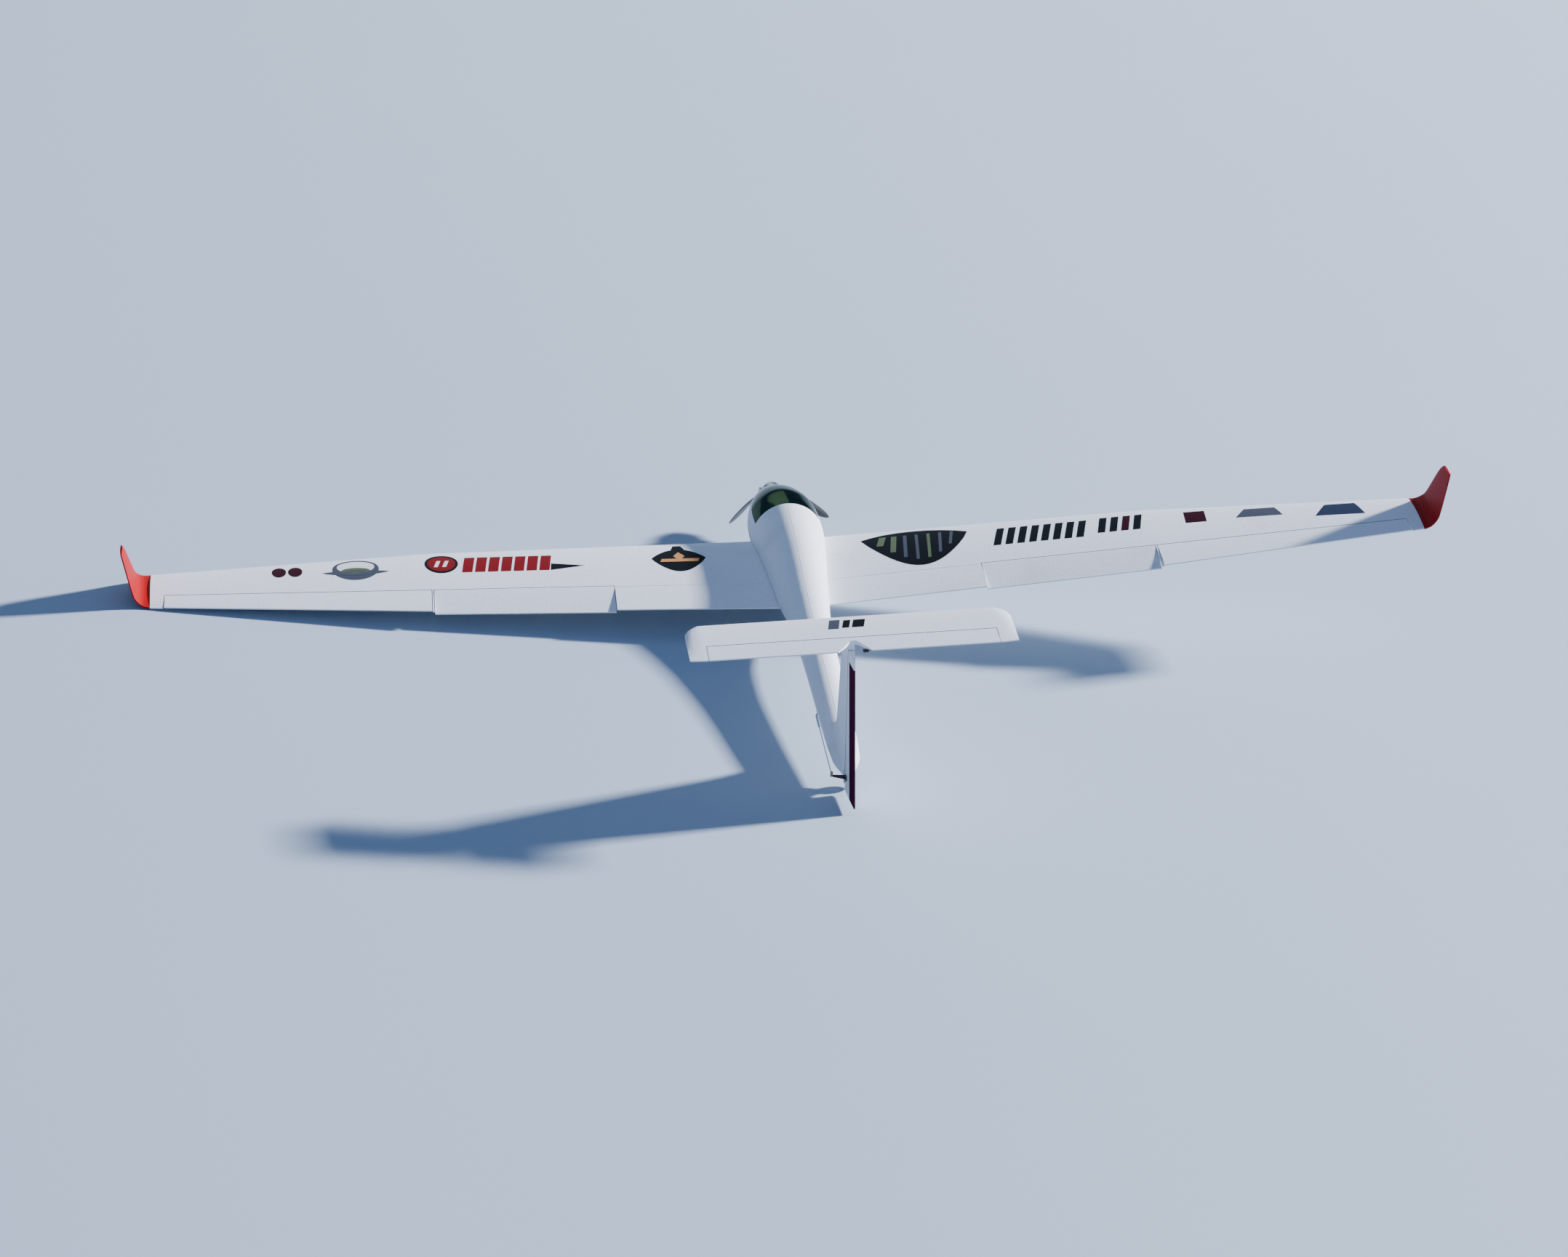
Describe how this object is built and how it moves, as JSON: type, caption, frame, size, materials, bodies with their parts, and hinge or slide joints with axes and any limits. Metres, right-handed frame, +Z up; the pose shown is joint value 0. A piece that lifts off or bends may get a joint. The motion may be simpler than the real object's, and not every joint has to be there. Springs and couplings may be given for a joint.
{
  "type": "radio-controlled foam model sailplane",
  "caption": "White foam model sailplane with a T-tail, nose propeller folded back, dark glossy canopy, flaps, ailerons and red winglets, resting on its wheels and one wing tip.",
  "frame": {"origin": "on the floor under the middle of the model's box, as it rests on its main wheel, tail wheel and left wing tip", "axes": "+X to the right wing tip, +Y towards the nose, +Z up; the airframe is banked left wing low by about 6 degrees and nose up by about 3"},
  "size_m": [2.0638, 0.9474, 0.3093],
  "materials": {
    "foam": "fine-beaded white foam",
    "red_foam": "red paint on foam",
    "canopy": "high gloss, dark green-black",
    "black_plastic": "moulded nylon",
    "white_nylon": "moulded nylon, white",
    "servo_case": "moulded, dark",
    "tyre": "matt, moulded",
    "aluminium": "turned, satin",
    "steel": "plain wire",
    "battery_wrap": "shrink wrap"
  },
  "bodies": {
    "airframe": {"fuselage": "foam", "battery": "battery_wrap", "motor": "steel", "wing_right": "foam", "winglet_right": "red_foam", "flap_servo_right": "servo_case", "flap_rod_right": "steel", "aileron_servo_right": "servo_case", "aileron_rod_right": "steel", "wing_left": "foam", "winglet_left": "red_foam", "flap_servo_left": "servo_case", "flap_rod_left": "steel", "aileron_servo_left": "servo_case", "aileron_rod_left": "steel", "tailplane": "foam", "rudder_rod": "steel", "rudder_rod_guide": "white_nylon", "elevator_servo": "servo_case", "elevator_rod": "steel", "wheel_box": "black_plastic", "tail_wheel_bracket": "black_plastic"},
    "canopy": {"canopy_dome": "canopy", "canopy_tray": "black_plastic"},
    "propeller_hub": {"spinner": "aluminium", "propeller_yoke": "aluminium"},
    "blade_right": {"propeller_blade_right": "black_plastic"},
    "blade_left": {"propeller_blade_left": "black_plastic"},
    "flap_right": {"flap_right": "foam", "flap_horn_right": "black_plastic"},
    "flap_left": {"flap_left": "foam", "flap_horn_left": "black_plastic"},
    "aileron_right": {"aileron_right": "foam", "aileron_horn_right": "black_plastic"},
    "aileron_left": {"aileron_left": "foam", "aileron_horn_left": "black_plastic"},
    "elevator": {"elevator": "foam", "elevator_horn": "black_plastic"},
    "rudder": {"rudder": "foam", "rudder_horn": "black_plastic"},
    "main_wheel": {"main_wheel": "tyre"},
    "tail_wheel": {"tail_wheel": "tyre"}
  },
  "joints": [
    {"name": "canopy_lift", "type": "slide", "parent": "airframe", "child": "canopy", "axis": [-0.1056, -0.0612, 0.9925], "range_m": [0, 0.12]},
    {"name": "prop_spin", "type": "hinge", "parent": "airframe", "child": "propeller_hub", "pos_m": [0.0155, 0.45122, 0.07302], "axis": [0, 0.9981, 0.0616], "continuous": true},
    {"name": "blade_fold_right", "type": "hinge", "parent": "propeller_hub", "child": "blade_right", "pos_m": [0.0324, 0.45111, 0.07482], "axis": [0.1056, 0.0612, -0.9925], "range_deg": [-56, 0]},
    {"name": "blade_fold_left", "type": "hinge", "parent": "propeller_hub", "child": "blade_left", "pos_m": [-0.00141, 0.45133, 0.07123], "axis": [-0.1056, -0.0612, 0.9925], "range_deg": [-56, 0]},
    {"name": "flap_right", "type": "hinge", "parent": "airframe", "child": "flap_right", "pos_m": [0.3008, 0.11376, 0.11187], "axis": [0.9888, 0.0005, 0.1494], "range_deg": [-5, 40]},
    {"name": "aileron_right", "type": "hinge", "parent": "airframe", "child": "aileron_right", "pos_m": [0.57992, 0.11392, 0.15403], "axis": [0.9889, 0.0152, 0.1477], "range_deg": [-20, 20]},
    {"name": "flap_left", "type": "hinge", "parent": "airframe", "child": "flap_left", "pos_m": [-0.27595, 0.11753, 0.05071], "axis": [0.998, -0.0135, 0.0613], "range_deg": [-5, 40]},
    {"name": "aileron_left", "type": "hinge", "parent": "airframe", "child": "aileron_left", "pos_m": [-0.55768, 0.12136, 0.03341], "axis": [0.9976, -0.0282, 0.0629], "range_deg": [-20, 20]},
    {"name": "elevator", "type": "hinge", "parent": "airframe", "child": "elevator", "pos_m": [-0.21455, -0.44, 0.24344], "axis": [0.9944, -0.0065, 0.1054], "range_deg": [-20, 20]},
    {"name": "rudder", "type": "hinge", "parent": "airframe", "child": "rudder", "pos_m": [0.01634, -0.41916, 0.01137], "axis": [-0.1056, -0.0598, 0.9926], "range_deg": [-25, 25]},
    {"name": "main_wheel", "type": "hinge", "parent": "airframe", "child": "main_wheel", "pos_m": [0.0193, 0.26378, 0.0256], "axis": [0.9944, -0.0065, 0.1054], "continuous": true},
    {"name": "tail_wheel", "type": "hinge", "parent": "airframe", "child": "tail_wheel", "pos_m": [0.0164, -0.39765, 0.0122], "axis": [0.9944, -0.0065, 0.1054], "continuous": true}
  ]
}
